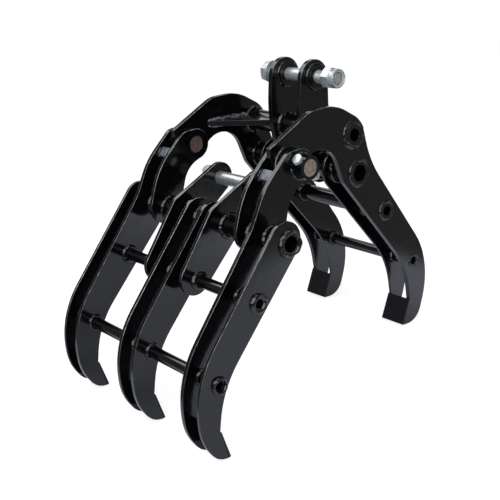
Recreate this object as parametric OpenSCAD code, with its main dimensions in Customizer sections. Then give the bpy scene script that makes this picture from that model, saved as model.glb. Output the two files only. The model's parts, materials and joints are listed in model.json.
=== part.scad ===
// Five-tine grapple for a mini excavator: a fixed rear jaw with two tines hangs from the hitch bolt,
// and a front jaw with three tines and a pair of levers swings about two short pivot pins.
// X runs to the rear jaw, Y across the jaws and Z up, from the middle of the hitch bolt. Millimetres.

/* [Jaws] */
// Size of the front jaw, about from its pivot to its tips
front_reach = 500; // [420:5:600]
// Size of the rear jaw, about from the pivot to its tips
rear_reach = 500; // [420:5:600]

/* [Widths] */
// Clear width between the two rear tines
rear_tine_gap = 168; // [150:2:200]
// Width of a rear tine over its two plates
rear_tine_w = 56; // [46:1:70]
// Width of a side tine of the front jaw over its two plates
side_tine_w = 50; // [42:1:60]
// Width of the middle tine over its two plates
middle_tine_w = 52; // [40:1:62]
// Clear width between the two levers
lever_gap = 98; // [90:1:110]
// Clear width between the two hitch ears
ear_gap = 68; // [60:1:80]

/* [Plates] */
// Thickness of the arched plates of the rear jaw
arch_t = 10; // [8:0.5:14]
// Thickness of the inner plates of the rear tines
rear_inner_t = 5; // [4:0.5:8]
// Thickness of the plates that carry the pivot pins
arm_t = 8; // [6:0.5:11]
// Thickness of the outermost tine plates
outer_t = 6; // [4:0.5:9]
// Thickness of the middle tine's plates
middle_t = 8; // [6:0.5:11]
// Thickness of the lever plates
lever_t = 8; // [6:0.5:11]
// Thickness of the hitch ears
ear_t = 10; // [8:0.5:14]
// Thickness of the gussets between ears and arched plates
gusset_t = 10; // [8:0.5:14]
// Thickness of a tooth strip at the tip
tooth_t = 5; // [4:0.5:9]
// Thickness of a tooth strip at its upper end
tooth_head_t = 1.5; // [1:0.5:4]
// Length of a tooth strip up the tine
tooth_l = 54; // [46:1:58]

/* [Tubes] */
// Diameter of the front jaw's main tube
main_tube_d = 37; // [32:0.5:42]
// Wall of the front jaw's main tube
main_tube_wall = 4.5; // [3:0.5:7]
// Diameter of the front jaw's second and third tubes
row_tube_d = 22; // [18:0.5:26]
// Wall of the front jaw's second and third tubes
row_tube_wall = 3; // [2:0.5:5]
// Diameter of the tube under the hitch
hitch_tube_d = 40; // [36:0.5:44]
// Wall of the tube under the hitch
hitch_tube_wall = 8; // [6:0.5:10]
// Diameter of the tube at the foot of the ears
ear_tube_d = 44; // [38:0.5:48]
// Wall of the tube at the foot of the ears
ear_tube_wall = 6; // [4:0.5:8]
// Diameter of the tube half way down the rear tines
rear_tube_d = 32; // [28:0.5:36]
// Wall of the tube half way down the rear tines
rear_tube_wall = 6; // [4:0.5:8]
// Diameter of the lowest tube of the rear jaw
tip_tube_d = 22; // [18:0.5:26]
// Wall of the lowest tube of the rear jaw
tip_tube_wall = 3; // [2:0.5:5]
// How far a tube with a ring of weld stands out of the outermost plate
tube_proud = 3; // [1:0.5:6]

/* [Pivot] */
// Diameter of the two pivot pins
pivot_pin_d = 30; // [26:0.5:34]
// Plate left round a pivot pin at the end of an arm
arm_end_wall = 14.5; // [12:0.5:17]
// Diameter of the pivot bosses on the arched plates
pivot_boss_d = 58; // [50:0.5:60]
// Plate left round a pivot boss
boss_wall = 2.5; // [1:0.5:3]
// How far a pivot boss stands inward of its arched plate
boss_in = 2.7; // [1:0.1:5]
// How far a pivot boss stands outward of its arched plate
boss_out = 21.7; // [18:0.1:28]
// Diameter of the collars that hold the pivot pins
pivot_collar_d = 42; // [38:0.5:48]
// Length of every pin collar
collar_l = 22; // [20:0.5:26]
// Play between an arm and the end of a pivot boss
side_play = 0.3; // [0.2:0.05:0.6]
// Side of the square stop blocks between the arm plates
stop_side = 19; // [14:0.5:22]
// Distance of a stop block from the pivot axis
stop_out = 50; // [48:0.5:54]

/* [Lever pin] */
// Diameter of the lever pin
lever_pin_d = 25; // [22:0.5:28]
// Diameter of the lever pin's collars
lever_collar_d = 38; // [34:0.5:42]

/* [Hitch bolt] */
// Diameter of the hitch bolt
bolt_d = 24; // [20:0.5:28]
// Length of the hitch bolt under its head
bolt_length = 176; // [170:1:200]
// Clear bolt from the far boss to the washer
bolt_clear = 23; // [18:1:28]
// Width across flats of the hitch bolt's head and nut
bolt_flats = 36; // [32:0.5:40]
// Height of the hitch bolt's head
bolt_head_h = 15; // [12:0.5:18]
// Diameter of the hitch washer
washer_d = 44; // [40:0.5:50]
// Thickness of the hitch washer
washer_t = 4; // [2.5:0.5:6]
// Height of the nut's hexagon
nut_h = 18; // [14:0.5:22]
// Height of the nut's round locking collar
nut_collar_h = 11; // [8:0.5:14]
// Diameter of the nut's round locking collar
nut_collar_d = 33; // [30:0.5:36]
// How far the nut's end stands past the end of the bolt
nut_past = 2; // [0:0.5:4]
// Diameter of the hitch bosses
hitch_boss_d = 44; // [38:0.5:50]
// How far a hitch boss stands out of its ear on each side
hitch_boss_proud = 5; // [3:0.5:8]

/* [Cross bolts] */
// Diameter of the cross bolts through collars and pins
cross_d = 10; // [8:0.5:12]
// Width across flats of the cross bolts' heads and nuts
cross_flats = 17; // [15:0.5:19]
// Height of a cross bolt's head
cross_head_h = 6.4; // [5:0.2:8]
// Height of a cross bolt's nut
cross_nut_h = 9; // [7:0.5:11]
// Thread that stands out past a cross bolt's nut
cross_end = 5; // [2:0.5:8]

/* [Hidden] */

// Facets of a full turn, and the largest turn between two points of an outline's arc
$fn = 96;
arc_step = 4;
// Overrun of every cut
cut = 1;
// Gap between a tube or boss and the plate it is welded into
weld_gap = 0.1;
// Gap round a pin in its bore
pin_fit = 0.05;
// Gap round a bolt in its hole
bolt_fit = 0.25;
// Step that keeps two blended arcs of an outline just apart
blend_gap = 0.5;
// Angle of the cross bolts' heads and of the stop blocks' faces about the pivot
cross_angle = 132.5;
stop_angle = 191.5;
stop_face_angle = 47;
// Bevel of a hexagon's corners, as a share of its width
hex_bevel_share = 0.06;

// Outlines are belts round circles [x, z, radius]: a radius under zero is a hollow, and none a sharp corner.
// Rear jaw, as shares of its reach, from the hitch axis
pivot_share = [-0.349, -0.207];
hitch_tube_share = [-0.026, -0.192];
ear_tube_share = [-0.014, -0.340];
rear_tube_share = [0.118, -0.530];
tip_tube_share = [0.260, -0.792];
rear_tip_share = [0.180, -1.050, 0];
rear_seat_share = [0.226, -0.948, 0];
rear_back_shares = [[0.217, -0.977, 0.078], [0.018, -0.850, 0.312]];
rear_inside_share = [-0.138, -0.924, -0.362];
head_shares = [[0.441, -0.162, -0.410], [-0.072, -0.210, 0.104], [-0.168, -0.258, 0.198],
    [-0.208, -0.178, 0.120], [-0.426, -0.136, 0], [-0.428, -0.168, 0]];
hollow_share = [-0.214, -0.299];
throat_share = [-0.034, -0.326, 0.066];
rear_top_share = 0.080;
ear_top_share = [-0.009, -0.006, 0.070];
ear_front_share = [0.470, -0.160, 0.570];
ear_foot_share = 0.066;
ear_back_share = [0.252, -0.120, -0.200];
gusset_tip_share = [-0.268, -0.150];
gusset_ear_share = [-0.098, -0.169];

// Front jaw, as shares of its reach, from the pivot axis
main_tube_share = [-0.161, -0.207];
second_tube_share = [-0.323, -0.359];
third_tube_share = [-0.523, -0.569];
lever_pin_share = [-0.013, -0.107];
arm_front_shares = [[-0.031, 0.001, 0.059], [0.056, -0.236, 0.300]];
arm_bend_share = [-0.369, -0.049, -0.160];
arm_hollow_share = [0.023, -0.165];
main_wrap_share = 0.054;
tine_top_share = [-0.178, -0.194, 0.068];
tine_front_shares = [[-0.275, -0.683, 0.346], [-0.421, -0.691, 0.200], [-0.523, -0.767, 0.074]];
tine_tip_share = [-0.528, -0.842, 0];
tine_seat_share = [-0.545, -0.729, 0];
tine_inside_share = [-0.200, -0.777, -0.346];
lever_top_share = 0.058;
lever_front_shares = [[-0.203, -0.169, 0.048], [-0.336, -0.344, 0.063]];
lever_back_share = [0.071, -0.477, -0.300];

// A rear jaw place or circle in real size
function rear(s) = rear_reach * s;
pivot = rear(pivot_share);
// A front jaw place or circle in real size
function front(s) = [pivot[0] + front_reach * s[0], pivot[1] + front_reach * s[1], front_reach * s[2]];
function front_at(s) = pivot + front_reach * s;
// A circle of a given radius round a place
function round_at(at, r) = [at[0], at[1], r];
function at_of(c) = [c[0], c[1]];

hitch_tube_at = rear(hitch_tube_share);
ear_tube_at = rear(ear_tube_share);
rear_tube_at = rear(rear_tube_share);
tip_tube_at = rear(tip_tube_share);
main_tube_at = front_at(main_tube_share);
second_tube_at = front_at(second_tube_share);
third_tube_at = front_at(third_tube_share);
lever_pin_at = front_at(lever_pin_share);
hitch_at = [0, 0];

// Places across the jaws, as distances from the middle
rear_in = rear_tine_gap / 2;
arch_out = rear_in + rear_tine_w;
arch_in = arch_out - arch_t;
boss_from = arch_in - boss_in;
boss_to = arch_out + boss_out;
short_out = boss_from - side_play;
short_in = short_out - arm_t;
long_in = boss_to + side_play;
long_out = long_in + arm_t;
outer_out = long_in + side_tine_w;
outer_in = outer_out - outer_t;
middle_out = middle_tine_w / 2;
middle_in = middle_out - middle_t;
lever_in = lever_gap / 2;
lever_out = lever_in + lever_t;
ear_in = ear_gap / 2;
ear_out = ear_in + ear_t;
hitch_boss_in = ear_in - hitch_boss_proud;
hitch_boss_out = ear_out + hitch_boss_proud;
bolt_seat = hitch_boss_out + bolt_clear + washer_t;
bolt_tip = bolt_seat - bolt_length;

// Radii
pivot_r = pivot_pin_d / 2;
arm_end_r = pivot_r + arm_end_wall;
boss_r = pivot_boss_d / 2;
lobe_r = boss_r + boss_wall;
bolt_r = bolt_d / 2;
lever_pin_r = lever_pin_d / 2;
cross_r = cross_d / 2;

// Angle of the outward normal of the straight stretch from circle a to circle b
function edge_normal(a, b) = let (d = [b[0] - a[0], b[1] - a[1]])
    atan2(d[1], d[0]) - acos((a[2] - b[2]) / norm(d));

// An angle brought between 0 and a full turn
function turned(a) = a - 360 * floor(a / 360);

// Points of one circle's arc between the normals of its two straight stretches
function arc(c, from, to) = c[2] == 0 ? [at_of(c)] :
    let (sweep = c[2] > 0 ? turned(to - from) : -turned(from - to),
        steps = max(1, ceil(abs(sweep) / arc_step)))
    [for (i = [0 : steps]) let (a = from + sweep * i / steps) at_of(c) + c[2] * [cos(a), sin(a)]];

// Closed outline of a belt laid anticlockwise round a list of circles
function belt(circles) =
    let (n = len(circles),
        normals = [for (i = [0 : n - 1]) edge_normal(circles[i], circles[(i + 1) % n])])
    [for (i = [0 : n - 1]) each arc(circles[i], normals[(i + n - 1) % n], normals[i])];

// Circles shared by the tines of one jaw
rear_tine_back = [rear(rear_tip_share), for (s = rear_back_shares) rear(s)];
rear_tine_inside = [rear(rear_inside_share), rear(rear_seat_share)];
tine_profile = [for (s = tine_front_shares) front(s),
    front(tine_tip_share), front(tine_seat_share), front(tine_inside_share)];

// Hollows that run into the round end of the plate beside them
hollow = round_at(rear(hollow_share), -(norm(rear(hollow_share) - pivot) - lobe_r - blend_gap));
arm_hollow = let (at = front_at(arm_hollow_share))
    round_at(at, -(norm(at - pivot) - arm_end_r - blend_gap));
arm_back = [arm_hollow, round_at(pivot, arm_end_r), for (s = arm_front_shares) front(s)];

arch_outline = belt([each rear_tine_back, for (s = head_shares) rear(s), round_at(pivot, lobe_r),
    hollow, rear(throat_share), each rear_tine_inside]);
rear_inner_outline = belt([each rear_tine_back, round_at(ear_tube_at, rear_reach * rear_top_share),
    each rear_tine_inside]);
ear_outline = belt([rear(ear_top_share), rear(ear_front_share),
    round_at(ear_tube_at, rear_reach * ear_foot_share), rear(ear_back_share)]);
tine_outline = belt([front(tine_top_share), each tine_profile]);
long_arm_outline = belt([each arm_back, front(arm_bend_share), each tine_profile,
    round_at(main_tube_at, front_reach * main_wrap_share)]);
short_arm_outline = belt([each arm_back, front(tine_top_share)]);
lever_outline = belt([round_at(lever_pin_at, front_reach * lever_top_share),
    for (s = lever_front_shares) front(s), front(lever_back_share)]);

// Holes of a plate, each [place, radius]
main_tube_hole = [main_tube_at, main_tube_d / 2 + weld_gap];
second_tube_hole = [second_tube_at, row_tube_d / 2 + weld_gap];
third_tube_hole = [third_tube_at, row_tube_d / 2 + weld_gap];
tine_holes = [main_tube_hole, second_tube_hole, third_tube_hole];
rear_tine_holes = [[ear_tube_at, ear_tube_d / 2 + weld_gap],
    [rear_tube_at, rear_tube_d / 2 + weld_gap], [tip_tube_at, tip_tube_d / 2 + weld_gap]];
hitch_tube_hole = [hitch_tube_at, hitch_tube_d / 2 + weld_gap];
pivot_hole = [pivot, pivot_r + pin_fit];

// Near pieces are far pieces mirrored across the middle
module on_side(side) {
    if (side == "far") children();
    else mirror([0, 1, 0]) children();
}

// Round bar across the jaws
module bar(at, from, to, r) {
    translate([at[0], from, at[1]]) rotate([-90, 0, 0]) cylinder(h = to - from, r = r);
}

// Bored round bar across the jaws
module ring(at, from, to, r, bore_r) {
    difference() {
        bar(at, from, to, r);
        bar(at, from - cut, to + cut, bore_r);
    }
}

// Upright plate with round holes
module plate(outline, from, to, holes) {
    difference() {
        translate([0, to, 0]) rotate([90, 0, 0]) linear_extrude(to - from) polygon(outline);
        for (h = holes) bar(h[0], from - cut, to + cut, h[1]);
    }
}

// Tube welded across the jaws, as far out as half
module cross_tube(at, half, d, wall) {
    color("#25282b") ring(at, -half, half, d / 2, d / 2 - wall);
}

// Hexagon with bevelled corners, from z = 0 up
module hexagon(flats, h) {
    corner_r = flats / 2 / cos(30);
    bevel = flats * hex_bevel_share;
    intersection() {
        cylinder(h = h, r = corner_r, $fn = 6);
        union() {
            cylinder(h = h - bevel, r = corner_r);
            translate([0, 0, h - bevel]) cylinder(h = bevel, r1 = corner_r, r2 = corner_r - bevel);
        }
    }
}

// Strip along the seat from a tine's tip, on the side that faces the other jaw
module tooth(tip, seat, inward, from, to) {
    along = (at_of(seat) - at_of(tip)) / norm(at_of(seat) - at_of(tip));
    across = inward * [-along[1], along[0]];
    foot = at_of(tip);
    head = foot + along * tooth_l;
    plate([foot, foot + across * tooth_t, head + across * tooth_head_t, head], from, to, []);
}

// One cross bolt's place: its pin's place, its collar's middle and its collar's radius
lever_cross = lever_out + collar_l / 2;
pivot_cross = long_out + collar_l / 2;
cross_places = [for (s = [-1, 1]) each [
    [pivot, s * pivot_cross, pivot_collar_d / 2],
    [lever_pin_at, s * lever_cross, lever_collar_d / 2]]];

// Turns z to point from a pin's axis to its cross bolt's head
module at_cross(p) {
    translate([p[0][0], p[1], p[0][1]]) rotate([0, 90 - cross_angle, 0]) children();
}

// Holes for the cross bolts
module cross_holes() {
    for (p = cross_places) at_cross(p)
        translate([0, 0, -p[2] - cut]) cylinder(h = 2 * (p[2] + cut), r = cross_r + bolt_fit);
}

// Rear jaw
module arch_plate(side) {
    color("#25282b") on_side(side) plate(arch_outline, arch_in, arch_out,
        [each rear_tine_holes, hitch_tube_hole, [pivot, boss_r + weld_gap]]);
}

module pivot_boss(side) {
    color("#25282b") on_side(side) ring(pivot, boss_from, boss_to, boss_r, pivot_r + pin_fit);
}

module rear_inner_plate(side) {
    color("#25282b") on_side(side)
        plate(rear_inner_outline, rear_in, rear_in + rear_inner_t, rear_tine_holes);
}

module hitch_ear(side) {
    color("#25282b") on_side(side) plate(ear_outline, ear_in, ear_out,
        [hitch_tube_hole, rear_tine_holes[0], [hitch_at, hitch_boss_d / 2 + weld_gap]]);
}

module hitch_boss(side) {
    color("#25282b") on_side(side)
        ring(hitch_at, hitch_boss_in, hitch_boss_out, hitch_boss_d / 2, bolt_r + bolt_fit);
}

module gusset(side) {
    tip = rear(gusset_tip_share);
    run = rear(gusset_ear_share) - tip;
    to_tube = norm(hitch_tube_at - tip);
    color("#25282b") on_side(side) difference() {
        translate([tip[0], 0, tip[1]]) rotate([0, -atan2(run[1], run[0]), 0])
            translate([0, 0, -gusset_t / 2]) linear_extrude(gusset_t)
                polygon([[0, arch_in], [norm(run), ear_out], [to_tube, ear_out], [to_tube, arch_in]]);
        bar(hitch_tube_at, ear_out - cut, arch_in + cut, hitch_tube_d / 2 + weld_gap);
    }
}

module rear_tooth(side) {
    color("#303336") on_side(side)
        tooth(rear(rear_tip_share), rear(rear_seat_share), 1, rear_in, arch_out);
}

module hitch_bolt() {
    color("#c9ccce") {
        bar(hitch_at, bolt_tip, bolt_seat, bolt_r);
        translate([0, bolt_seat, 0]) rotate([-90, 0, 0]) hexagon(bolt_flats, bolt_head_h);
    }
}

module hitch_nut() {
    color("#c9ccce") difference() {
        translate([0, bolt_tip - nut_past, 0]) rotate([-90, 0, 0]) {
            cylinder(h = nut_collar_h, r = nut_collar_d / 2);
            translate([0, 0, nut_collar_h]) hexagon(bolt_flats, nut_h);
        }
        bar(hitch_at, bolt_tip - nut_past - cut, bolt_tip + nut_h + nut_collar_h + cut, bolt_r + pin_fit);
    }
}

module hitch_washer() {
    color("#c9ccce") ring(hitch_at, bolt_seat - washer_t, bolt_seat, washer_d / 2, bolt_r + bolt_fit);
}

// Front jaw
module outer_tine_plate(side) {
    color("#25282b") on_side(side) plate(tine_outline, outer_in, outer_out, tine_holes);
}

module long_arm_plate(side) {
    color("#25282b") on_side(side)
        plate(long_arm_outline, long_in, long_out, [each tine_holes, pivot_hole]);
}

module short_arm_plate(side) {
    color("#25282b") on_side(side)
        plate(short_arm_outline, short_in, short_out, [main_tube_hole, pivot_hole]);
}

module middle_tine_plate(side) {
    color("#25282b") on_side(side) plate(tine_outline, middle_in, middle_out, tine_holes);
}

module lever_plate(side) {
    color("#25282b") on_side(side) plate(lever_outline, lever_in, lever_out,
        [main_tube_hole, second_tube_hole, [lever_pin_at, lever_pin_r + pin_fit]]);
}

module stop_block(side) {
    at = pivot + stop_out * [cos(stop_angle), sin(stop_angle)];
    color("#25282b") on_side(side) translate([at[0], short_out, at[1]]) rotate([0, -stop_face_angle, 0])
        translate([-stop_side / 2, 0, -stop_side / 2]) cube([stop_side, long_in - short_out, stop_side]);
}

module front_tooth(from, to) {
    color("#303336") tooth(front(tine_tip_share), front(tine_seat_share), -1, from, to);
}

module side_tooth(side) {
    on_side(side) front_tooth(long_in, outer_out);
}

module pivot_pin(side) {
    color("#b7a999") difference() {
        on_side(side) bar(pivot, short_in, long_out + collar_l, pivot_r);
        cross_holes();
    }
}

module pivot_collar(side) {
    color("#25282b") difference() {
        on_side(side) ring(pivot, long_out, long_out + collar_l, pivot_collar_d / 2, pivot_r + pin_fit);
        cross_holes();
    }
}

module lever_pin() {
    color("#c9ccce") difference() {
        bar(lever_pin_at, -lever_out - collar_l, lever_out + collar_l, lever_pin_r);
        cross_holes();
    }
}

module lever_collar(side) {
    color("#25282b") difference() {
        on_side(side)
            ring(lever_pin_at, lever_out, lever_out + collar_l, lever_collar_d / 2, lever_pin_r + pin_fit);
        cross_holes();
    }
}

module cross_bolts() {
    color("#c9ccce") for (p = cross_places) at_cross(p) {
        under = p[2] + cross_nut_h + cross_end;
        translate([0, 0, -under]) cylinder(h = under + p[2], r = cross_r);
        translate([0, 0, p[2]]) hexagon(cross_flats, cross_head_h);
    }
}

module cross_nuts() {
    color("#c9ccce") for (p = cross_places) at_cross(p) difference() {
        translate([0, 0, -p[2]]) mirror([0, 0, 1]) hexagon(cross_flats, cross_nut_h);
        translate([0, 0, -p[2] - cross_nut_h - cut])
            cylinder(h = cross_nut_h + 2 * cut, r = cross_r + pin_fit);
    }
}

arch_plate("near");  // arch_plate_near
arch_plate("far");  // arch_plate_far
pivot_boss("near");  // pivot_boss_near
pivot_boss("far");  // pivot_boss_far
rear_inner_plate("near");  // rear_inner_plate_near
rear_inner_plate("far");  // rear_inner_plate_far
hitch_ear("near");  // hitch_ear_near
hitch_ear("far");  // hitch_ear_far
hitch_boss("near");  // hitch_boss_near
hitch_boss("far");  // hitch_boss_far
cross_tube(hitch_tube_at, arch_out + tube_proud, hitch_tube_d, hitch_tube_wall);  // hitch_tube
cross_tube(ear_tube_at, arch_out + tube_proud, ear_tube_d, ear_tube_wall);  // ear_tube
cross_tube(rear_tube_at, arch_out + tube_proud, rear_tube_d, rear_tube_wall);  // rear_tube
cross_tube(tip_tube_at, arch_out, tip_tube_d, tip_tube_wall);  // tip_tube
gusset("near");  // gusset_near
gusset("far");  // gusset_far
rear_tooth("near");  // rear_tooth_near
rear_tooth("far");  // rear_tooth_far
hitch_bolt();
hitch_nut();
hitch_washer();
outer_tine_plate("near");  // outer_tine_plate_near
outer_tine_plate("far");  // outer_tine_plate_far
long_arm_plate("near");  // long_arm_plate_near
long_arm_plate("far");  // long_arm_plate_far
short_arm_plate("near");  // short_arm_plate_near
short_arm_plate("far");  // short_arm_plate_far
middle_tine_plate("near");  // middle_tine_plate_near
middle_tine_plate("far");  // middle_tine_plate_far
lever_plate("near");  // lever_plate_near
lever_plate("far");  // lever_plate_far
cross_tube(main_tube_at, outer_out + tube_proud, main_tube_d, main_tube_wall);  // main_tube
cross_tube(second_tube_at, outer_out + tube_proud, row_tube_d, row_tube_wall);  // second_tube
cross_tube(third_tube_at, outer_out, row_tube_d, row_tube_wall);  // third_tube
side_tooth("near");  // side_tooth_near
side_tooth("far");  // side_tooth_far
front_tooth(-middle_out, middle_out);  // middle_tooth
stop_block("near");  // stop_block_near
stop_block("far");  // stop_block_far
pivot_pin("near");  // pivot_pin_near
pivot_pin("far");  // pivot_pin_far
pivot_collar("near");  // pivot_collar_near
pivot_collar("far");  // pivot_collar_far
lever_pin();
lever_collar("near");  // lever_collar_near
lever_collar("far");  // lever_collar_far
cross_bolts();
cross_nuts();
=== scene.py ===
"""Looks of a five-tine grapple for a mini excavator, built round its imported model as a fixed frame.

Metres. X runs towards the rear jaw, Y across the jaws to the far side and Z up, from the hitch bolt.
Plates, tubes and pins are the frame's own nodes with eased edges and painted or plated surfaces.
Weld beads, the hitch bolt, its locknut and the threads of the cross bolts are made here.
"""

import json
import math
import random

import bpy
from mathutils import Matrix, Vector

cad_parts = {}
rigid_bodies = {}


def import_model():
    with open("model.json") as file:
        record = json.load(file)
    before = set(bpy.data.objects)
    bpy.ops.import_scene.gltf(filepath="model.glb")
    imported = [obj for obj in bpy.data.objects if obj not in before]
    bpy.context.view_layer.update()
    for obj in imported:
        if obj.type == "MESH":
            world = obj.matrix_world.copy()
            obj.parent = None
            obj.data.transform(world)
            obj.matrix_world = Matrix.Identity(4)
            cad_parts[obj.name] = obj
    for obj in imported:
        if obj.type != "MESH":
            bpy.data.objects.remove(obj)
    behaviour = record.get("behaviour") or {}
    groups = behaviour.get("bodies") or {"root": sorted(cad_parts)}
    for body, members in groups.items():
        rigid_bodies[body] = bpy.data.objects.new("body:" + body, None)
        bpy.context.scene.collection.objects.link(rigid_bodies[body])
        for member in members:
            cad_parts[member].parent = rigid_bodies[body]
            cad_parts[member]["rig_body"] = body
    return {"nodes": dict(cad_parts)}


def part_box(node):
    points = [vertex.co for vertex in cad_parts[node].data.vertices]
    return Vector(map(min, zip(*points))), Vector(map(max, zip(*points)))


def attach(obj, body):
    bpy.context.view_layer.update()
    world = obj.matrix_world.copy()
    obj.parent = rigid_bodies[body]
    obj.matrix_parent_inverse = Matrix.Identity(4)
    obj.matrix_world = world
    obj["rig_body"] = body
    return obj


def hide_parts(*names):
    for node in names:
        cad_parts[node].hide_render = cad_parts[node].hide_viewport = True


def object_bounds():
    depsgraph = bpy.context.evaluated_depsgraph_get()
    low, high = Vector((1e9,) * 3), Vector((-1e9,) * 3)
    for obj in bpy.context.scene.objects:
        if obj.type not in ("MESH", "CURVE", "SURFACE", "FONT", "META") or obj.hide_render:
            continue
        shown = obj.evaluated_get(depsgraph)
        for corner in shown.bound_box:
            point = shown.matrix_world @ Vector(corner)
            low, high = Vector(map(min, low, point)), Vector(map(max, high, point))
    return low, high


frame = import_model()
cad_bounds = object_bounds()

MM = 0.001
SIDES = {"near": -1, "far": 1}
Y_AXIS = Vector((0, 1, 0))

# Camera at the photograph's view
CAMERA_AT = (-1.14994, -1.24200, 0.34298)
CAMERA_RIGHT = (0.74933, -0.65140, -0.11910)
CAMERA_UP = (0.33112, 0.21281, 0.91928)
CAMERA_BACK = (-0.57347, -0.72828, 0.37516)
LENS_MM = 64.8
SENSOR_MM = 36

# Which plates each cross tube passes through
TUBE_PLATES = {
    "hitch_tube": ("arch_plate", "hitch_ear"),
    "ear_tube": ("arch_plate", "rear_inner_plate", "hitch_ear"),
    "rear_tube": ("arch_plate", "rear_inner_plate"),
    "tip_tube": ("arch_plate", "rear_inner_plate"),
    "main_tube": ("outer_tine_plate", "long_arm_plate", "short_arm_plate", "middle_tine_plate",
                  "lever_plate"),
    "second_tube": ("outer_tine_plate", "long_arm_plate", "middle_tine_plate", "lever_plate"),
    "third_tube": ("outer_tine_plate", "long_arm_plate", "middle_tine_plate"),
}

# Visible width of each tube's ring of weld
TUBE_BEAD = {
    "hitch_tube": 7.5 * MM,
    "ear_tube": 5.5 * MM,
    "rear_tube": 4.5 * MM,
    "tip_tube": 4.5 * MM,
    "main_tube": 6.0 * MM,
    "second_tube": 7.0 * MM,
    "third_tube": 5.0 * MM,
}

# Least length of tube past a plate that is welded, and how far a bead may stand past the tube's end
LEAST_ROOM = 1 * MM
PAST_TUBE_END = 0.5 * MM

# Highest ring of weld on a tube, and the share of a ring's height that lies below the plate's face
INNER_BEAD_HEIGHT = 5.0 * MM
SUNK = 0.7

# How far outside the tube a ring's middle lies, and half its whole width, as shares of its visible width
RING_MIDDLE = 0.30
RING_HALF = 0.78

# How strongly its waves move a straight bead sideways, as a share of its width
WANDER = 0.4

# Visible width and height of the other beads
BOSS_BEAD = (4.5 * MM, 3.6 * MM)
COLLAR_BEAD = (4 * MM, 3.2 * MM)
ARCH_BEAD = (7.5 * MM, 5 * MM)
EAR_BEAD = (5 * MM, 4.5 * MM)
STOP_BEAD = (3.4 * MM, 3 * MM)

# Bosses, the plates that they pass, and the faces that are welded: 1 is the outer, -1 the inner one
BOSS_FACES = (("pivot_boss", "arch_plate", (1,)), ("hitch_boss", "hitch_ear", (-1, 1)))

# Parts of the turn, in degrees, that are welded at the foot of a pin collar
COLLAR_SPANS = ((172, 282), (5, 92))

# Length between a bead's stations, the fewest stations, and the length of one lump
STATION_PITCH = 1.2 * MM
LEAST_STATIONS = 16
LUMP_PITCH = 14 * MM

# Waves along a bead: how many to a lump, and their largest size
WAVES = ((0.35, 0.16), (0.8, 0.07))

# Hitch bolt and its nut
BOLT_R = 12 * MM
BOLT_ROOT_R = 10.5 * MM
BOLT_PITCH = 3 * MM
BOLT_THREAD_FROM = 2.4 * MM
BOLT_THREAD_TO = 50 * MM
BOLT_FLATS = 36 * MM
HEX_CHAMFER = 1.8 * MM
NUT_COLLAR_H = 11 * MM
NUT_BORE_R = 12.1 * MM
NUT_TURN = math.radians(12)

# Sections in mm, as radius and distance from the bolt's or the nut's near end
BOLT_END = ((0.2, 0), (9.5, 0), (9.9, 0.4), (10.0, 2.2))
NUT_LIP = ((14.6, 3.4), (14.8, 0.7), (15.3, 0.1), (16.0, 0), (16.9, 0.3), (17.4, 1.1), (17.6, 2.2))
NYLON_RING = ((11.9, 1.8), (12.4, 1.3), (14.9, 1.3), (14.9, 3.5), (11.9, 3.5))

# Cross bolts: direction of the heads, height of the nuts and length of thread past them
CROSS_BOLT_ANGLE = math.radians(132.5)
CROSS_NUT_H = 9 * MM
CROSS_THREAD_L = 5.0 * MM

# Their thread: where it starts inside the nut, what its last turn needs, its pitch and one turn of it
INTO_NUT = 1 * MM
LAST_TURN = 1.3 * MM
CROSS_PITCH = 1.5 * MM
CROSS_TURN = ((0, 5.02 * MM), (0.35, 5.34 * MM), (0.5, 5.34 * MM), (0.85, 5.02 * MM))

# Corners sharper than this stay crisp on turned and faceted pieces
CRISP_ANGLE = math.radians(25)


def centre_of(node):
    low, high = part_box(node)
    return (low + high) / 2


def radius_of(node):
    low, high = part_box(node)
    return (high.x - low.x) / 2


def faces_of(node):
    """Lowest and highest place of a node across the jaws."""
    low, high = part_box(node)
    return low.y, high.y


# Meshes

def make_piece(name, verts, faces, material, body, slot):
    """A smooth mesh that rides on a body."""
    mesh = bpy.data.meshes.new(name)
    mesh.from_pydata([tuple(v) for v in verts], [], faces)
    mesh.update()
    mesh.shade_smooth()
    piece = bpy.data.objects.new(name, mesh)
    bpy.context.scene.collection.objects.link(piece)
    mesh.materials.append(material)
    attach(piece, body)
    return piece


def add_part(store, verts, faces):
    """Adds one closed form to a growing mesh."""
    start = len(store[0])
    store[0].extend(verts)
    store[1].extend([[start + i for i in face] for face in faces])


def sweep(stations, closed, sides=12):
    """Rounded bar through stations, each a centre, two crosswise directions and two radii."""
    verts = []
    for centre, u, v, a, b in stations:
        for k in range(sides):
            turn = 2 * math.pi * k / sides
            verts.append(centre + u * (a * math.cos(turn)) + v * (b * math.sin(turn)))
    count = len(stations)
    faces = []
    for i in range(count if closed else count - 1):
        j = (i + 1) % count
        for k in range(sides):
            m = (k + 1) % sides
            faces.append([i * sides + k, i * sides + m, j * sides + m, j * sides + k])
    if not closed:
        faces.append(list(reversed(range(sides))))
        faces.append([(count - 1) * sides + k for k in range(sides)])
    return verts, faces


def lathe(profile, at, turns=72):
    """Closed form turned about a line across the jaws, from (radius, y) points."""
    verts = []
    for radius, y in profile:
        for k in range(turns):
            turn = 2 * math.pi * k / turns
            verts.append(Vector((at.x + radius * math.cos(turn), y, at.z + radius * math.sin(turn))))
    count = len(profile)
    faces = []
    for i in range(count):
        j = (i + 1) % count
        for k in range(turns):
            m = (k + 1) % turns
            faces.append([i * turns + k, j * turns + k, j * turns + m, i * turns + m])
    return verts, faces


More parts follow.
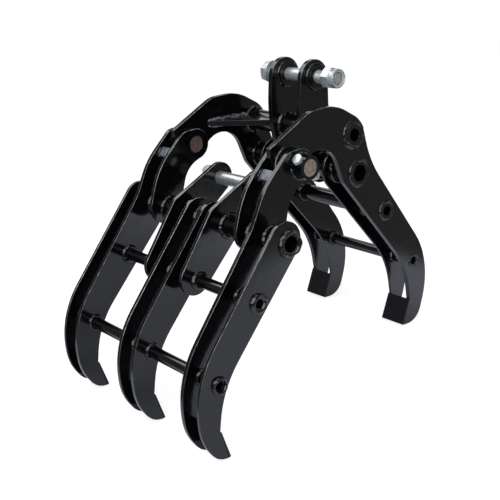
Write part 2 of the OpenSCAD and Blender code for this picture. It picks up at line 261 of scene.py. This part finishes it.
def waviness(rng, count):
    """Smooth random factor round 1 along a bead of about that many lumps."""
    waves = [(rng.uniform(0.5, 1.0) * size, max(1, round(count * share)), rng.uniform(0, 2 * math.pi))
             for share, size in WAVES]

    def factor(along):
        return 1 + sum(size * math.sin(2 * math.pi * n * along + phase) for size, n, phase in waves)

    return factor


def taper(along, least, slope):
    """Share of its full size that a bead has: least at both ends, 1 further in."""
    return min(1, least + slope * min(along, 1 - along))


def ring_bead(store, rng, at, radius, y, out, width, height, span=(0, 360)):
    """Bead of weld round a tube, on the face of a plate at y; out is the way that the face looks."""
    start, end = (math.radians(a) for a in span)
    length = (radius + width / 2) * (end - start)
    closed = span == (0, 360)
    count = max(LEAST_STATIONS, round(length / STATION_PITCH))
    size = waviness(rng, length / LUMP_PITCH)
    drift = waviness(rng, length / LUMP_PITCH)
    stations = []
    for i in range(count + (0 if closed else 1)):
        along = i / count
        turn = start + (end - start) * along
        outward = Vector((math.cos(turn), 0, math.sin(turn)))
        grow = size(along)
        if not closed:
            grow *= taper(along, 0.25, 6)
        middle = radius + RING_MIDDLE * width * drift(along)
        centre = Vector((at.x, y - out * SUNK * height, at.z)) + outward * middle
        half = RING_HALF * width * grow
        stations.append((centre, outward, Y_AXIS * out, half, (1 + SUNK) * height * grow))
    add_part(store, *sweep(stations, closed))


def line_bead(store, rng, start, end, across, up, width, height):
    """Straight bead of weld from start to end."""
    length = (end - start).length
    count = max(LEAST_STATIONS, round(length / STATION_PITCH))
    size = waviness(rng, length / LUMP_PITCH)
    drift = waviness(rng, length / LUMP_PITCH)
    stations = []
    for i in range(count + 1):
        along = i / count
        grow = size(along) * taper(along, 0.3, 8)
        centre = start.lerp(end, along) + across * (width * WANDER * (drift(along) - 1))
        stations.append((centre, across, up, width * grow, height * grow))
    add_part(store, *sweep(stations, False))


# Materials

class Nodes:
    """A node tree, with short calls that add and join its nodes."""

    def __init__(self, tree):
        self.tree = tree

    def add(self, kind, **settings):
        node = self.tree.nodes.new("ShaderNode" + kind)
        for name, value in settings.items():
            setattr(node, name, value)
        return node

    def put(self, value, socket):
        """Gives a socket what another node puts out, or a fixed value."""
        if isinstance(value, bpy.types.NodeSocket):
            self.tree.links.new(value, socket)
        else:
            socket.default_value = value

    def feed(self, node, **inputs):
        """Fills inputs of a node, whose names have _ here for each space."""
        for name, value in inputs.items():
            self.put(value, node.inputs[name.replace("_", " ")])
        return node

    def spread(self, value, low, high, to_low=0.0, to_high=1.0):
        """Maps a range of a value smoothly on to another range."""
        node = self.add("MapRange", interpolation_type="SMOOTHSTEP")
        self.feed(node, Value=value, From_Min=low, From_Max=high, To_Min=to_low, To_Max=to_high)
        return node.outputs["Result"]

    def math(self, operation, a, b):
        node = self.add("Math", operation=operation)
        for socket, value in zip(node.inputs, (a, b)):
            self.put(value, socket)
        return node.outputs["Value"]

    def vector_math(self, operation, a, b, result="Vector"):
        node = self.add("VectorMath", operation=operation)
        for socket, value in zip(node.inputs, (a, b)):
            self.put(value, socket)
        return node.outputs[result]

    def axes(self, vector):
        return self.feed(self.add("SeparateXYZ"), Vector=vector).outputs

    def rays(self):
        """1 for the camera's rays, and 1 for rays that a surface mirrors or lets through."""
        path = self.add("LightPath").outputs
        mirrored = self.math("MAXIMUM", path["Is Glossy Ray"], path["Is Transmission Ray"])
        return path["Is Camera Ray"], mirrored


class Shader(Nodes):
    """A material's nodes, round the surface that they feed."""

    def __init__(self, name, **constants):
        self.material = bpy.data.materials.new(name)
        self.material.use_nodes = True
        super().__init__(self.material.node_tree)
        self.surface = self.tree.nodes["Principled BSDF"]
        self.feed(self.surface, **constants)
        self.coords = self.add("TexCoord")
        self.place = self.coords.outputs["Object"]

    def noise(self, scale, detail=4, roughness=0.55, stretch=(1, 1, 1)):
        mapping = self.feed(self.add("Mapping"), Vector=self.place, Scale=stretch)
        node = self.feed(self.add("TexNoise"), Vector=mapping.outputs["Vector"], Scale=scale,
                         Detail=detail, Roughness=roughness)
        return node.outputs["Fac"]

    def blend(self, share, a, b):
        """Colour a where share is 0, b where it is 1."""
        node = self.add("Mix", data_type="RGBA")
        self.put(share, node.inputs["Factor"])
        colours = [socket for socket in node.inputs if socket.type == "RGBA"]
        for socket, value in zip(colours, (a, b)):
            self.put((*value, 1) if isinstance(value, tuple) else value, socket)
        return next(socket for socket in node.outputs if socket.type == "RGBA")

    def bump(self, height, depth, under=None):
        """Normal of a surface that height raises by up to depth, in metres, over another normal."""
        node = self.feed(self.add("Bump"), Height=height, Distance=depth)
        if under is not None:
            self.feed(node, Normal=under)
        return node.outputs["Normal"]

    def looks(self, axis):
        """How far the surface looks along one axis of the frame."""
        return self.axes(self.coords.outputs["Normal"])[axis]

    def across_face(self):
        """1 on faces that look across the jaws, 0 on rims."""
        return self.math("ABSOLUTE", self.looks("Y"), 0)

    def eased_edge(self, across):
        """1 on the rounded edges between the faces and the rims of a plate, 0 elsewhere."""
        off_rim = self.spread(across, 0.10, 0.40)
        off_face = self.spread(across, 0.82, 0.97, 1.0, 0.0)
        return self.math("MULTIPLY", off_rim, off_face)


# Colours, linear
PAINT_DARK = (0.0012, 0.0012, 0.0016)
PAINT_LIGHT = (0.0030, 0.0031, 0.0038)
DUST = (0.060, 0.058, 0.054)
# Painted highlight: bluish grey laid in patches on the gusset beads
WELD_SHEEN = (0.20, 0.205, 0.25)
# Painted highlight: light grey laid on the plates' eased edges, strongest on those that look up
EDGE_HIGHLIGHT = (0.37, 0.38, 0.41)
TOOTH_DARK = (0.0040, 0.0042, 0.0060)
TOOTH_LIGHT = (0.0105, 0.0105, 0.0125)
STOP_DARK = (0.020, 0.022, 0.028)
# Painted reflection: bluish grey laid in patches on the stop blocks
STOP_SHEEN = (0.105, 0.125, 0.160)
ZINC_DARK = (0.43, 0.47, 0.49)
ZINC_LIGHT = (0.53, 0.57, 0.59)
ZINC_SPOT = (0.33, 0.36, 0.38)
NYLON_DARK = (0.42, 0.47, 0.44)
NYLON_LIGHT = (0.58, 0.62, 0.57)
NEAR_PIN = {"bright": (0.48, 0.40, 0.33), "brown": (0.30, 0.23, 0.18)}
# The far pin's colours are the near pin's darkened: painted shade on its end, which lies between the
# plates
SHADED_FAR_PIN = {"bright": (0.26, 0.19, 0.16), "brown": (0.15, 0.10, 0.08)}

# Paint on a pin's end starts between these radii, less the depth of its grain
PIN_PAINT = (0.0149, 0.0153)
PIN_GRAIN = 0.0010
PIN_METALLIC = 0.75


def black_paint(name, cut_rims_and_edge_highlights=True):
    """Gloss black enamel with orange peel; the rim flag adds flame-cut rims and painted highlights on
    the upper edges.
    """
    s = Shader(name, Metallic=0.0, IOR=1.5, Specular_IOR_Level=0.5)
    cloud = s.noise(38, 3)
    speck = s.noise(900, 2, 0.5)
    dust = s.math("MULTIPLY", s.spread(cloud, 0.52, 0.78), s.spread(speck, 0.55, 0.75, 0.0, 0.05))
    colour = s.blend(dust, s.blend(cloud, PAINT_DARK, PAINT_LIGHT), DUST)
    smear = s.noise(70, 5, 0.6)
    normal = s.bump(s.noise(260, 2, 0.4), 0.00005)
    if cut_rims_and_edge_highlights:
        across = s.across_face()
        # painted highlight on the eased edges, lighter where they look up
        colour = s.blend(painted_edge_highlight(s, across), colour, EDGE_HIGHLIGHT)
        lines = s.noise(1, 3, 0.6, (650, 45, 650))
        rim = s.math("SUBTRACT", 1, across)
        normal = s.bump(s.math("MULTIPLY", lines, rim), 0.00004, normal)
    s.feed(s.surface, Base_Color=colour, Roughness=s.spread(smear, 0.3, 0.75, 0.09, 0.18), Normal=normal)
    return s.material


def painted_edge_highlight(s, across):
    """Share of painted light-grey highlight on the eased edges, strongest on the edges that look up."""
    upper = s.spread(s.looks("Z"), 0.15, 0.55, 0.07, 1.0)
    highlit_edges = s.math("MULTIPLY", s.eased_edge(across), upper)
    broken = s.spread(s.noise(85, 4, 0.6), 0.38, 0.62, 0.3, 1.0)
    return s.math("MULTIPLY", highlit_edges, broken)


def weld_paint(name, sheen=0.0):
    """The same enamel where it has run smooth over weld beads; the last argument is the share of painted
    bluish-grey highlight, in patches.
    """
    s = Shader(name, Metallic=0.0, IOR=1.55, Specular_IOR_Level=0.5)
    colour = s.blend(s.noise(60, 3), PAINT_DARK, PAINT_LIGHT)
    if sheen:
        colour = s.blend(s.spread(s.noise(150, 4, 0.6), 0.42, 0.60, 0.0, sheen), colour, WELD_SHEEN)
    lumps = s.bump(s.noise(55, 1, 0.3), 0.0004)
    s.feed(s.surface, Base_Color=colour, Roughness=s.spread(s.noise(120, 3), 0.3, 0.7, 0.08, 0.13),
           Normal=s.bump(s.noise(500, 2, 0.4), 0.00002, lumps))
    return s.material


def tooth_paint():
    """Thin dull paint on the tooth strips, with grinding marks."""
    s = Shader("tooth_paint", Metallic=0.0, IOR=1.4, Specular_IOR_Level=0.35)
    s.feed(s.surface, Base_Color=s.blend(s.noise(120, 4), TOOTH_DARK, TOOTH_LIGHT),
           Roughness=s.spread(s.noise(200, 3), 0.3, 0.7, 0.26, 0.40),
           Normal=s.bump(s.noise(1, 3, 0.6, (900, 60, 900)), 0.00015))
    return s.material


def stop_sheen_paint():
    """Stop block: black paint with random patches of painted bluish-grey reflection, shown as paint
    rubbed thin.
    """
    s = Shader("stop_sheen_paint", Metallic=0.0, IOR=1.55, Specular_IOR_Level=0.5)
    sheen_patch = s.spread(s.noise(70, 4, 0.6), 0.36, 0.60)
    s.feed(s.surface, Base_Color=s.blend(sheen_patch, STOP_DARK, STOP_SHEEN),
           Roughness=s.spread(s.noise(300, 4), 0.3, 0.7, 0.22, 0.42),
           Normal=s.bump(s.noise(400, 3), 0.00010))
    return s.material


def zinc_plate(name, metallic, smoothest, roughest):
    """Bright zinc with a faint blue cast, cloudy, with small patches of wear."""
    s = Shader(name, Metallic=metallic)
    cloudy = s.blend(s.noise(60, 2, 0.4), ZINC_DARK, ZINC_LIGHT)
    spot = s.spread(s.noise(260, 2), 0.62, 0.80, 0.0, 0.22)
    s.feed(s.surface, Base_Color=s.blend(spot, cloudy, ZINC_SPOT),
           Roughness=s.spread(s.noise(90, 2, 0.4), 0.3, 0.7, smoothest, roughest),
           Normal=s.bump(s.noise(300, 2, 0.4), 0.00001))
    return s.material


def pin_steel(name, pin, bright, brown):
    """Bare end of a pivot pin, browned by heat and damp, with paint left round its edge."""
    s = Shader(name)
    grain = s.noise(520, 5, 0.65)
    stain = s.noise(150, 4, 0.6)
    steel = s.blend(s.spread(stain, 0.3, 0.7), bright, brown)
    pivot = centre_of(pin)
    from_axis = s.vector_math("SUBTRACT", s.place, (pivot.x, 0, pivot.z))
    flat = s.vector_math("MULTIPLY", from_axis, (1, 0, 1))
    radius = s.vector_math("LENGTH", flat, (0, 0, 0), "Value")
    ragged = s.math("ADD", radius, s.math("MULTIPLY", grain, PIN_GRAIN))
    paint = s.spread(ragged, *PIN_PAINT)
    s.feed(s.surface, Base_Color=s.blend(paint, steel, PAINT_DARK),
           Metallic=s.math("MULTIPLY", PIN_METALLIC, s.math("SUBTRACT", 1, paint)),
           Roughness=s.spread(grain, 0.3, 0.7, 0.36, 0.56), Normal=s.bump(grain, 0.00015))
    return s.material


def nylon():
    """Pale ring that locks the nut on its thread."""
    s = Shader("nylon", Metallic=0.0)
    s.feed(s.surface, Base_Color=s.blend(s.noise(300, 3), NYLON_DARK, NYLON_LIGHT),
           Roughness=s.spread(s.noise(500, 3), 0.3, 0.7, 0.35, 0.5),
           Normal=s.bump(s.noise(900, 3), 0.00008))
    return s.material


PLATE_PAINT = black_paint("plate_paint")
TUBE_PAINT = black_paint("tube_paint", cut_rims_and_edge_highlights=False)
WELD_PAINT = weld_paint("weld_paint")
# Gusset beads: enamel with patches of painted bluish-grey highlight
SHEEN_WELD = weld_paint("sheen_weld", 0.75)
TOOTH_PAINT = tooth_paint()
# Stop blocks: black paint with patches of painted reflection
STOP_PAINT = stop_sheen_paint()
ZINC = zinc_plate("zinc_plate", 0.62, 0.32, 0.39)
GROUND_ZINC = zinc_plate("ground_zinc", 0.76, 0.24, 0.30)
NYLON = nylon()

# Surfaces of single nodes, and of the others by the last telling word in their names
NODE_SURFACE = {
    "lever_pin": GROUND_ZINC,
    "pivot_pin_near": pin_steel("bare_steel", "pivot_pin_near", **NEAR_PIN),
    # painted shade: the far pin's end takes darker copies of the near pin's colours
    "pivot_pin_far": pin_steel("shaded_pin_steel", "pivot_pin_far", **SHADED_FAR_PIN),
}
KIND_SURFACE = {
    "plate": PLATE_PAINT, "ear": PLATE_PAINT,
    "tube": TUBE_PAINT, "boss": TUBE_PAINT, "collar": TUBE_PAINT, "gusset": TUBE_PAINT,
    "bolt": ZINC, "nut": ZINC, "washer": ZINC,
    "tooth": TOOTH_PAINT, "block": STOP_PAINT,
}

# How far edges are eased, by the same word
EASED = {
    "plate": 1.3 * MM, "ear": 1.3 * MM, "gusset": 0.7 * MM, "tooth": 0.5 * MM, "tube": 0.6 * MM,
    "boss": 0.8 * MM, "collar": 0.8 * MM, "block": 0.8 * MM, "pin": 0.8 * MM, "bolt": 0.4 * MM,
    "nut": 0.4 * MM, "washer": 0.4 * MM,
}

# Corners closer than this are joined, faces that differ by less are made one, and sharper edges eased
JOINED = 0.00001
FLAT_ANGLE = math.radians(0.6)
EDGE_ANGLE = math.radians(28)


# Frame nodes

def ease_edges(obj, width):
    """Rounds a node's sharp edges with modifiers, and leaves its own mesh as it is."""
    weld = obj.modifiers.new("join_faces", "WELD")
    weld.merge_threshold = JOINED
    flat = obj.modifiers.new("flat_faces", "DECIMATE")
    flat.decimate_type = "DISSOLVE"
    flat.angle_limit = FLAT_ANGLE
    bevel = obj.modifiers.new("eased_edges", "BEVEL")
    bevel.width = width
    bevel.segments = 3
    bevel.limit_method = "ANGLE"
    bevel.angle_limit = EDGE_ANGLE
    bevel.use_clamp_overlap = True
    normals = obj.modifiers.new("face_normals", "WEIGHTED_NORMAL")
    normals.weight = 80
    for polygon in obj.data.polygons:
        polygon.use_smooth = True


def dress_nodes():
    """Gives every node of the frame its surface and its eased edges."""
    for name, obj in frame["nodes"].items():
        kind = [word for word in name.rstrip("s").split("_") if word in EASED][-1]
        material = NODE_SURFACE[name] if name in NODE_SURFACE else KIND_SURFACE[kind]
        obj.data.materials.clear()
        obj.data.materials.append(material)
        ease_edges(obj, EASED[kind])


# Welds

def weld_tubes():
    """Rings of weld where a tube passes a plate, on both faces of each plate."""
    for tube, plates in TUBE_PLATES.items():
        at = centre_of(tube)
        radius = radius_of(tube)
        tube_low, tube_high = faces_of(tube)
        rng = random.Random(tube)
        store = ([], [])
        body = frame["nodes"][tube]["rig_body"]
        for plate in plates:
            for side in SIDES:
                low, high = faces_of(plate + "_" + side)
                for y, out in ((low, -1), (high, 1)):
                    room = (y - tube_low) if out < 0 else (tube_high - y)
                    if room < LEAST_ROOM:
                        continue
                    height = min(room + PAST_TUBE_END, INNER_BEAD_HEIGHT)
                    ring_bead(store, rng, at, radius, y, out, TUBE_BEAD[tube], height)
        make_piece("welds_" + tube, *store, WELD_PAINT, body, "black_paint")


def weld_bosses():
    """Rings of weld round the pivot bosses, on the outer faces, and the hitch bosses, on both."""
    for boss, plate, faces in BOSS_FACES:
        store = ([], [])
        rng = random.Random(boss)
        for side, sign in SIDES.items():
            node = boss + "_" + side
            low, high = faces_of(plate + "_" + side)
            for face in faces:
                out = face * sign
                y = high if out > 0 else low
                ring_bead(store, rng, centre_of(node), radius_of(node), y, out, *BOSS_BEAD)
        make_piece("welds_" + boss, *store, WELD_PAINT, "rear_jaw", "black_paint")


def weld_collars():
    """Short runs of weld at the foot of each pin collar, clear of its cross bolt."""
    store = ([], [])
    rng = random.Random("collars")
    for collar, plate in (("pivot_collar", "long_arm_plate"), ("lever_collar", "lever_plate")):
        for side, sign in SIDES.items():
            node = collar + "_" + side
            low, high = faces_of(plate + "_" + side)
            y = high if sign > 0 else low
            for span in COLLAR_SPANS:
                ring_bead(store, rng, centre_of(node), radius_of(node), y, sign, *COLLAR_BEAD, span)
    make_piece("welds_collars", *store, WELD_PAINT, "front_jaw", "black_paint")


def gusset_frame(side):
    """Side view of a gusset: middle of its left end, direction, upward normal and half its thickness."""
    corners = [v.co for v in frame["nodes"]["gusset_" + side].data.vertices]
    left = min(c.x for c in corners)
    end = [c for c in corners if c.x < left + 2 * MM]
    top = max(end, key=lambda c: c.z)
    foot = min(end, key=lambda c: c.z)
    up = (Vector((top.x, 0, top.z)) - Vector((foot.x, 0, foot.z))).normalized()
    middle = Vector(((top.x + foot.x) / 2, 0, (top.z + foot.z) / 2))
    along = Vector((up.z, 0, -up.x))
    return middle, along, up, (Vector(top) - Vector(foot)).length / 2


def weld_gussets():
    """Beads along the gussets, above and below, on the arched plates and on the ears."""
    store = ([], [])
    rng = random.Random("gussets")
    tube = centre_of("hitch_tube")
    for side, sign in SIDES.items():
        tip, along, up, half = gusset_frame(side)
        arch = min(abs(y) for y in faces_of("arch_plate_" + side)) * sign
        ear = max(abs(y) for y in faces_of("hitch_ear_" + side)) * sign
        reach = (Vector((tube.x, 0, tube.z)) - tip).dot(along) - radius_of("hitch_tube")
        ear_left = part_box("hitch_ear_" + side)[0].x
        ear_start = (ear_left - tip.x) / along.x + 8 * MM
        inward = Vector((0, -sign, 0))
        for face in (-1, 1):
            lift = up * (face * half)
            begin = tip + lift + Vector((0, arch, 0)) + inward * MM + along * 2 * MM
            end = begin + along * (reach - 2 * MM)
            line_bead(store, rng, begin, end, inward, up * face, *ARCH_BEAD)
            begin = tip + lift + Vector((0, ear, 0)) + along * ear_start
            end = begin + along * (reach - ear_start)
            line_bead(store, rng, begin, end, inward, up * face, *EAR_BEAD)
    # the gusset beads carry patches of painted highlight
    make_piece("welds_gussets", *store, SHEEN_WELD, "rear_jaw", "black_paint")


def weld_stops():
    """Beads at both ends of the stop blocks, off the face that meets the arched plate."""
    store = ([], [])
    rng = random.Random("stops")
    for side, sign in SIDES.items():
        node = "stop_block_" + side
        at = centre_of(node)
        low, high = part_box(node)
        corners = [v.co for v in frame["nodes"][node].data.vertices]
        top = max(corners, key=lambda c: c.z)
        left = min(corners, key=lambda c: c.x)
        edge = Vector((top.x - left.x, 0, top.z - left.z))
        half = edge.length / 2
        edge.normalize()
        face = Vector((-edge.z, 0, edge.x))
        for y, out in ((low.y, 1), (high.y, -1)):
            for direction, run in ((face, edge), (-face, edge), (-edge, face)):
                middle = Vector((at.x, y, at.z)) + direction * half
                start = middle - run * (half - 2 * MM)
                end = middle + run * (half - 2 * MM)
                line_bead(store, rng, start, end, direction, Y_AXIS * out, *STOP_BEAD)
    make_piece("welds_stops", *store, WELD_PAINT, "front_jaw", "black_paint")


# Fasteners

def hexagon(store, at, low, high, turn=0.0):
    """Hexagon of the hitch bolt's head or nut, with its corners turned off at both ends."""
    corner = BOLT_FLATS / math.sqrt(3)
    depth = HEX_CHAMFER * 0.6
    sides = 48
    rings = ((low, -HEX_CHAMFER), (low + depth, 0), (high - depth, 0), (high, -HEX_CHAMFER))
    verts = []
    for y, cut in rings:
        for k in range(sides):
            angle = 2 * math.pi * k / sides
            fold = (angle + math.pi / 6) % (math.pi / 3) - math.pi / 6
            flat_r = (BOLT_FLATS / 2) / math.cos(fold)
            radius = min(flat_r, corner + cut)
            x = at.x + radius * math.cos(angle + turn)
            z = at.z + radius * math.sin(angle + turn)
            verts.append(Vector((x, y, z)))
    faces = [list(range(sides))]
    for i in range(len(rings) - 1):
        for k in range(sides):
            m = (k + 1) % sides
            faces.append([i * sides + k, (i + 1) * sides + k, (i + 1) * sides + m, i * sides + m])
    faces.append(list(reversed(range((len(rings) - 1) * sides, len(rings) * sides))))
    add_part(store, verts, faces)


def sharpen(piece):
    """Keeps a turned or faceted piece crisp at its corners."""
    piece.data.set_sharp_from_angle(angle=CRISP_ANGLE)


def section(points, end):
    """Profile from (radius, distance from the end) in mm."""
    return [(radius * MM, end + along * MM) for radius, along in points]


def bolt_thread(start, end):
    """Profile of the hitch bolt's thread, in full turns from start until past end."""
    profile = []
    y = start
    while y < end:
        profile += [(BOLT_ROOT_R, y), (BOLT_R, y + BOLT_PITCH * 0.4), (BOLT_R, y + BOLT_PITCH * 0.6)]
        y += BOLT_PITCH
    return profile + [(BOLT_R, y)]


def hitch_bolt():
    """Zinc-plated bolt of the hitch: head with a disc under it, shank, and thread with its end."""
    at = centre_of("hitch_bolt")
    low, high = faces_of("hitch_bolt")
    seat = faces_of("hitch_washer")[1]
    store = ([], [])
    hexagon(store, at, seat + 0.6 * MM, high)
    disc_r = BOLT_FLATS / 2 - 1 * MM
    disc = [(1 * MM, seat), (disc_r, seat), (disc_r, seat + 1 * MM), (1 * MM, seat + 1 * MM)]
    add_part(store, *lathe(disc, at))
    shank = section(BOLT_END, low) + bolt_thread(low + BOLT_THREAD_FROM, low + BOLT_THREAD_TO)
    shank += [(BOLT_R, seat + 0.5 * MM), (0.2 * MM, seat + 0.5 * MM)]
    add_part(store, *lathe(shank, at))
    piece = make_piece("hitch_bolt_zinc", *store, ZINC, "rear_jaw", "zinc_plate")
    sharpen(piece)
    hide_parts("hitch_bolt")


def hitch_nut():
    """Locknut: hexagon, round collar rolled in over a nylon ring."""
    at = centre_of("hitch_nut")
    low, high = faces_of("hitch_nut")
    hex_low = low + NUT_COLLAR_H
    store = ([], [])
    hexagon(store, at, hex_low, high, NUT_TURN)
    lip = section(NUT_LIP, low)
    collar = [(NUT_BORE_R, high), (NUT_BORE_R, lip[0][1])] + lip
    collar += [(lip[-1][0], hex_low + 1 * MM), (NUT_BORE_R, hex_low + 1 * MM)]
    add_part(store, *lathe(collar, at))
    piece = make_piece("hitch_nut_zinc", *store, ZINC, "rear_jaw", "zinc_plate")
    sharpen(piece)
    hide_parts("hitch_nut")
    ring = lathe(section(NYLON_RING, low), at)
    piece = make_piece("nylon_ring", *ring, NYLON, "rear_jaw", "zinc_plate")
    sharpen(piece)


def cross_bolt_places():
    """Middle, direction to the head, and collar radius of each cross bolt."""
    direction = Vector((math.cos(CROSS_BOLT_ANGLE), 0, math.sin(CROSS_BOLT_ANGLE)))
    places = []
    for collar in ("pivot_collar", "lever_collar"):
        for side in SIDES:
            node = collar + "_" + side
            places.append((centre_of(node), direction, radius_of(node)))
    return places


def cross_threads():
    """Thread on the ends that stand out past the cross bolts' nuts."""
    store = ([], [])
    for at, direction, collar_r in cross_bolt_places():
        side = direction.cross(Y_AXIS)
        start = collar_r + CROSS_NUT_H
        end = start + CROSS_THREAD_L
        stations = []
        reach = start - INTO_NUT
        while reach < end - LAST_TURN:
            for step, radius in CROSS_TURN:
                centre = at - direction * (reach + step * CROSS_PITCH)
                stations.append((centre, side, Y_AXIS, radius, radius))
            reach += CROSS_PITCH
        add_part(store, *sweep(stations, False, 32))
    piece = make_piece("cross_threads", *store, ZINC, "front_jaw", "zinc_plate")
    sharpen(piece)


# Room

FLOOR_HALF = 30

# Pool of painted light on the floor, seen only in reflections: where each side's edge runs from and to,
# and the sweep behind
PAPER_LEFT = (-0.80, -0.66)
PAPER_RIGHT = (0.31, 0.42)
PAPER_FRONT = (-0.86, -0.70)
PAPER_BACK = (0.58, 0.82)
SWEEP_X = (-0.6, 0.0)
SWEEP_Y = (2.2, 3.0)

# Painted glow of the pool in reflections, at its front and its right, none under the jaw as a painted
# shadow, and the least glow of the floor
FRONT_GLOW = 0.26
FRONT_GLOW_Y = (-0.45, -0.25)
RIGHT_GLOW = 0.60
RIGHT_GLOW_X = (0.0, 0.25)
FLOOR_GLOW = 0.22

# The camera sees the floor run from this glow to white, over these distances from this place
SEEN_GLOW = 0.74
FADE = (0.70, 1.5)
FADE_FROM = (-0.15, 0.0)

# Colours of the floor: near for other rays, near for the camera, far, and the tint of its reflection
FLOOR_NEAR = (0.62, 0.655, 0.76)
FLOOR_SEEN = (0.45, 0.45, 0.45)
FLOOR_FAR = (0.03, 0.03, 0.03)
WHITE = (1, 1, 1)
COOL = (0.86, 0.91, 1.0)

# World in reflections: heights over which the low band fades, the side where it starts, its strength
# and the strength of the rest
BAND_TOP = (0.06, 0.26)
BAND_SIDE = (-0.2, 0.1)
BAND_GLOW = 0.84
ROOM_GLOW = 0.16

# World's light on matt surfaces
ROOM_LIGHT = 0.36


def lay_floor():
    """Pale floor that runs out to white."""
    z = cad_bounds[0][2]
    corners = [(x * FLOOR_HALF, y * FLOOR_HALF, z) for x, y in ((-1, -1), (1, -1), (1, 1), (-1, 1))]
    mesh = bpy.data.meshes.new("floor")
    mesh.from_pydata(corners, [], [[0, 1, 2, 3]])
    mesh.materials.append(floor_paper(z))
    floor = bpy.data.objects.new("floor", mesh)
    bpy.context.scene.collection.objects.link(floor)


def painted_light_pool(s, x, y):
    """1 on the pool of painted light round the grapple and on the sweep behind it, 0 elsewhere."""
    left = s.spread(x, *PAPER_LEFT)
    right = s.spread(x, *PAPER_RIGHT, 1.0, 0.0)
    front = s.spread(y, *PAPER_FRONT)
    back = s.spread(y, *PAPER_BACK, 1.0, 0.0)
    pool = s.math("MULTIPLY", s.math("MULTIPLY", right, left), s.math("MULTIPLY", front, back))
    behind = s.math("MULTIPLY", s.spread(y, *SWEEP_Y), s.spread(x, *SWEEP_X))
    return s.math("MAXIMUM", pool, behind)


def floor_paper(z):
    """Floor white to the camera; in reflections a pool of painted light on a dark floor, dimmer under
    the jaw as a painted shadow.
    """
    s = Shader("floor_paper", Roughness=0.6, Specular_IOR_Level=0.0)
    axes = s.axes(s.place)
    x, y = axes["X"], axes["Y"]
    light_pool = painted_light_pool(s, x, y)
    seen, mirrored = s.rays()
    distance = s.vector_math("DISTANCE", s.place, (*FADE_FROM, z), "Value")
    away = s.spread(distance, *FADE)
    pale = s.math("MULTIPLY", s.math("SUBTRACT", 1, away), s.math("MAXIMUM", seen, light_pool))
    base = s.blend(pale, FLOOR_FAR, s.blend(seen, FLOOR_NEAR, FLOOR_SEEN))
    front_glow = s.spread(y, *FRONT_GLOW_Y, FRONT_GLOW, 0.0)
    right_glow = s.spread(x, *RIGHT_GLOW_X, 0.0, RIGHT_GLOW)
    # painted light: the pool glows in reflections, brighter at the front and right, with painted shadow
    # under the jaw
    glow = s.math("MULTIPLY", s.math("ADD", front_glow, right_glow), light_pool)
    glow = s.math("MULTIPLY", mirrored, s.math("MAXIMUM", glow, FLOOR_GLOW))
    white = s.math("MULTIPLY", seen, s.spread(away, 0, 1, SEEN_GLOW, 1.0))
    tint = s.math("MULTIPLY", mirrored, light_pool)
    s.feed(s.surface, Base_Color=base, Emission_Color=s.blend(tint, WHITE, COOL),
           Emission_Strength=s.math("ADD", white, glow))
    return s.material


def world_light():
    """White for the camera; a low bright band in a dim room in reflections; soft light for the rest."""
    world = bpy.data.worlds.new("room")
    bpy.context.scene.world = world
    world.use_nodes = True
    n = Nodes(world.node_tree)
    axes = n.axes(n.add("TexCoord").outputs["Generated"])
    seen, mirrored = n.rays()
    band = n.spread(axes["Z"], *BAND_TOP, BAND_GLOW, 0.0)
    side = n.spread(axes["X"], *BAND_SIDE)
    glow = n.math("ADD", n.math("MULTIPLY", band, side), ROOM_GLOW)
    strength = n.math("ADD", n.math("MULTIPLY", mirrored, glow), seen)
    other = n.math("SUBTRACT", 1, n.math("MAXIMUM", mirrored, seen))
    strength = n.math("ADD", strength, n.math("MULTIPLY", other, ROOM_LIGHT))
    n.feed(n.tree.nodes["Background"], Color=(*WHITE, 1), Strength=strength)


# Place that the softboxes aim at
AIM = Vector((-0.16, 0.0, -0.25))

# Softboxes: place, width, height and radiance
SOFTBOXES = {
    "side_softbox": ((-1.68, -1.10, 1.10), 2.4, 1.8, 3.2),
    "top_softbox": ((0.06, -0.22, 1.93), 1.6, 1.6, 1.2),
    "back_softbox": ((-0.55, 1.25, 1.26), 1.8, 0.78, 3.2),
    "far_softbox": ((1.60, 1.30, 1.05), 1.2, 1.2, 1.0),
}


def softboxes():
    """Large lamps that aim at the grapple."""
    for name, (place, width, height, radiance) in SOFTBOXES.items():
        lamp = bpy.data.lights.new(name, "AREA")
        lamp.shape = "RECTANGLE"
        lamp.size = width
        lamp.size_y = height
        lamp.energy = radiance * math.pi * width * height
        obj = bpy.data.objects.new(name, lamp)
        obj.location = place
        obj.rotation_euler = (Vector(place) - AIM).to_track_quat("Z", "Y").to_euler()
        bpy.context.scene.collection.objects.link(obj)


def camera():
    """Camera where the photograph was taken."""
    data = bpy.data.cameras.new("camera")
    data.lens = LENS_MM
    data.sensor_width = SENSOR_MM
    obj = bpy.data.objects.new("camera", data)
    turn = Matrix((CAMERA_RIGHT, CAMERA_UP, CAMERA_BACK)).transposed().to_4x4()
    obj.matrix_world = Matrix.Translation(CAMERA_AT) @ turn
    bpy.context.scene.collection.objects.link(obj)
    bpy.context.scene.camera = obj


camera()
dress_nodes()
weld_tubes()
weld_bosses()
weld_collars()
weld_gussets()
weld_stops()
hitch_bolt()
hitch_nut()
cross_threads()
lay_floor()
world_light()
softboxes()
bpy.context.scene.view_settings.view_transform = "Standard"
